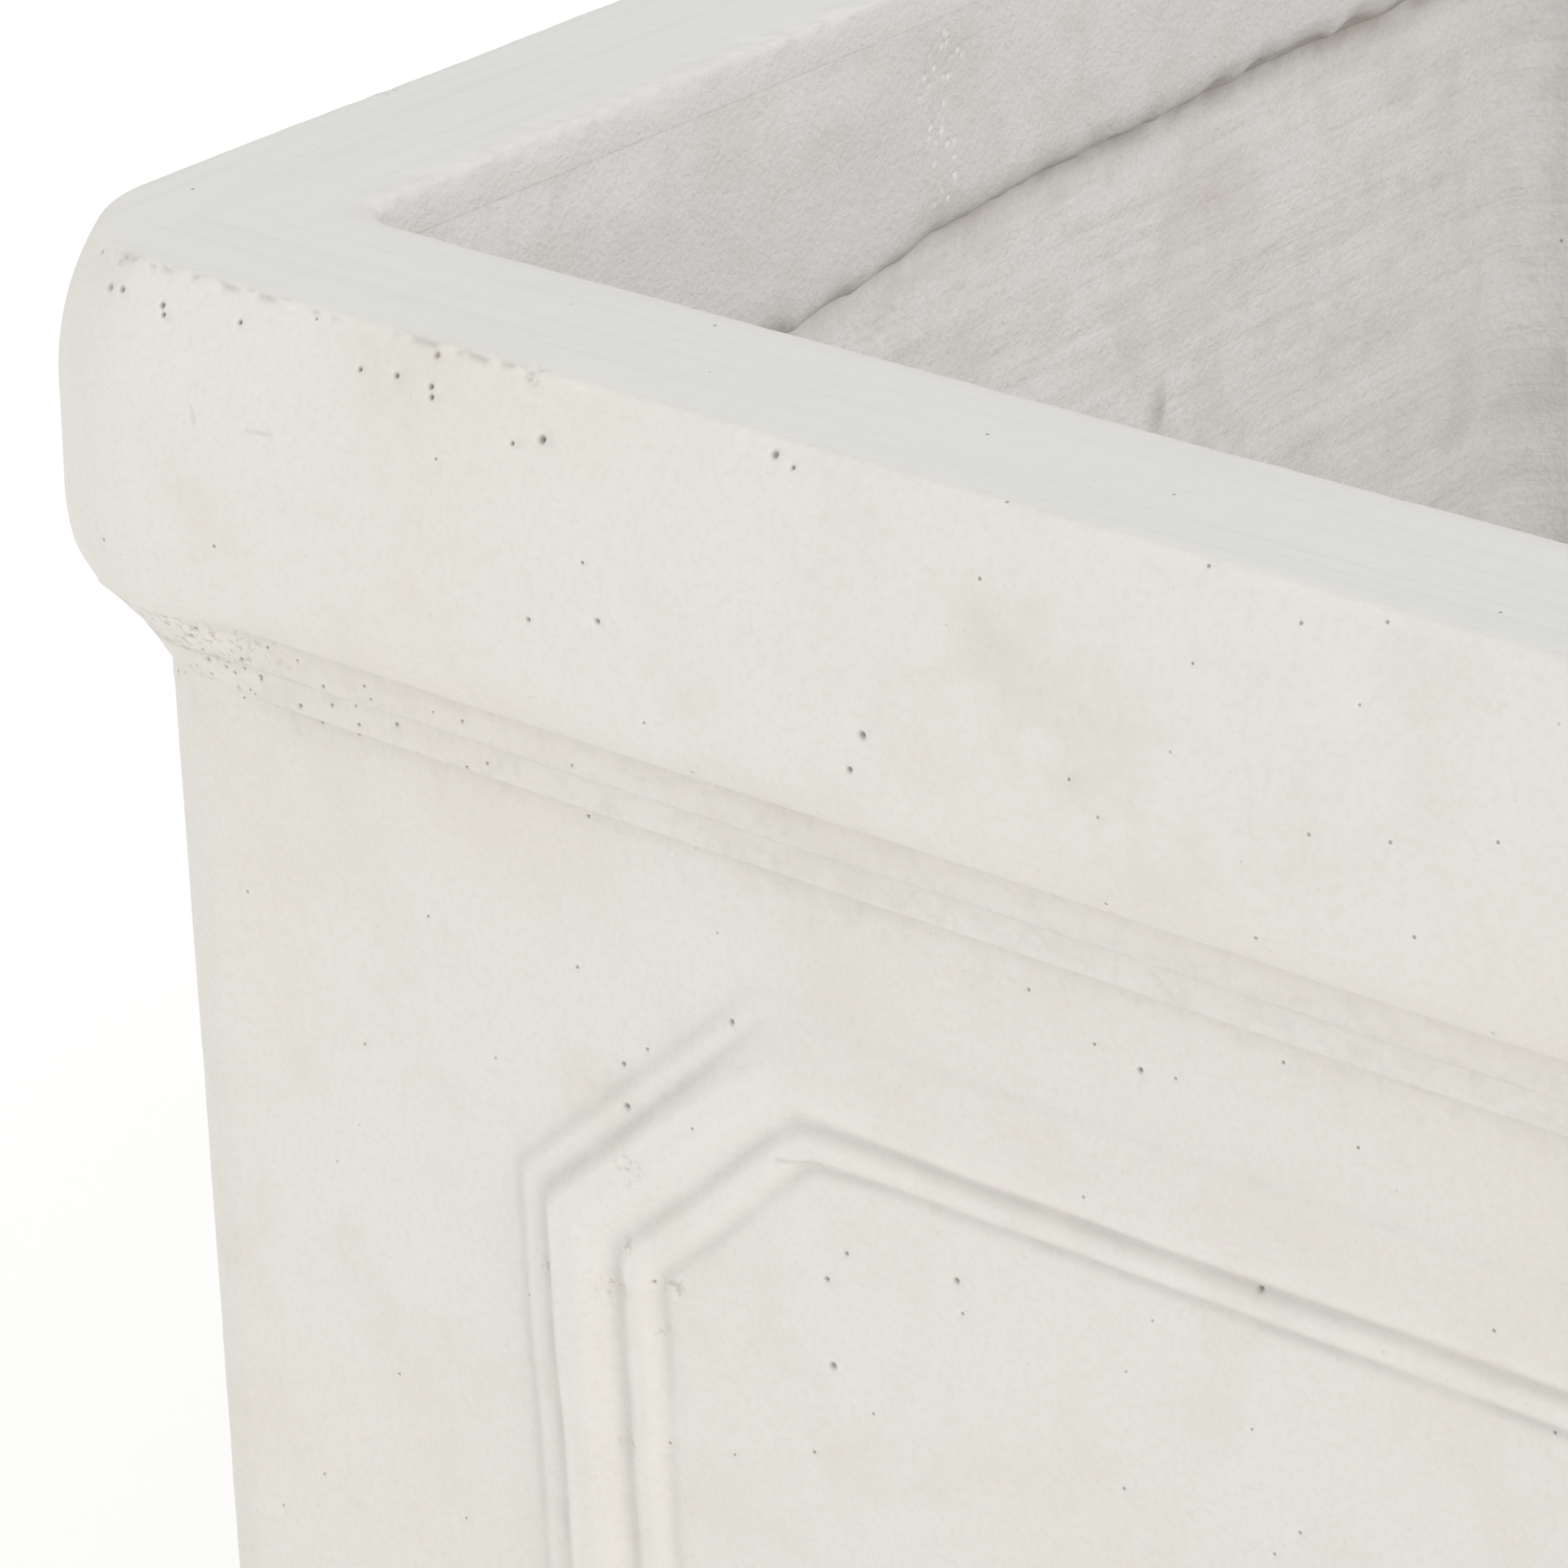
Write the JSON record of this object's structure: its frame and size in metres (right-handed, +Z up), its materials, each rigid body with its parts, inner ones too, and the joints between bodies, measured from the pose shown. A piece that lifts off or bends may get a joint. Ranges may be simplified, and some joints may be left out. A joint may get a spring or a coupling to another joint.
{
  "type": "window box",
  "caption": "Rectangular cast-stone window box with a rolled rim, stepped cornice, leaning walls with chamfered panel mouldings, a hand-laid inner band and plugged drain holes.",
  "frame": {"origin": "middle of the footprint, on the ground under the rubber pads", "axes": "+X along the length to the right, +Y from the front to the back, +Z up"},
  "size_m": [0.93, 0.336, 0.3],
  "materials": {
    "face_mix": "antique white cast stone, matt, lightly pitted",
    "backing_mix": "coarse hand-laid backing mix, matt, trowelled",
    "glass_scrim": "alkali-resistant glass-fibre scrim",
    "galvanised_rod": "hot-dip galvanised",
    "plug_rubber": "moulded black rubber",
    "pad_rubber": "moulded dark grey rubber"
  },
  "bodies": {
    "planter": {"face_coat": "face_mix", "front_rim_band": "backing_mix", "back_rim_band": "backing_mix", "left_rim_band": "backing_mix", "right_rim_band": "backing_mix", "front_backing": "backing_mix", "back_backing": "backing_mix", "left_end_backing": "backing_mix", "right_end_backing": "backing_mix", "base_slab": "backing_mix", "front_scrim": "glass_scrim", "back_scrim": "glass_scrim", "left_end_scrim": "glass_scrim", "right_end_scrim": "glass_scrim", "base_scrim": "glass_scrim", "rim_rod": "galvanised_rod", "foot_pads": "pad_rubber"},
    "plug_left": {"drain_plug_left": "plug_rubber"},
    "plug_centre": {"drain_plug_centre": "plug_rubber"},
    "plug_right": {"drain_plug_right": "plug_rubber"}
  },
  "joints": [
    {"name": "pull_plug_left", "type": "slide", "parent": "planter", "child": "plug_left", "axis": [0, 0, 1], "range_m": [0, 0.31]},
    {"name": "pull_plug_centre", "type": "slide", "parent": "planter", "child": "plug_centre", "axis": [0, 0, 1], "range_m": [0, 0.31]},
    {"name": "pull_plug_right", "type": "slide", "parent": "planter", "child": "plug_right", "axis": [0, 0, 1], "range_m": [0, 0.31]}
  ]
}
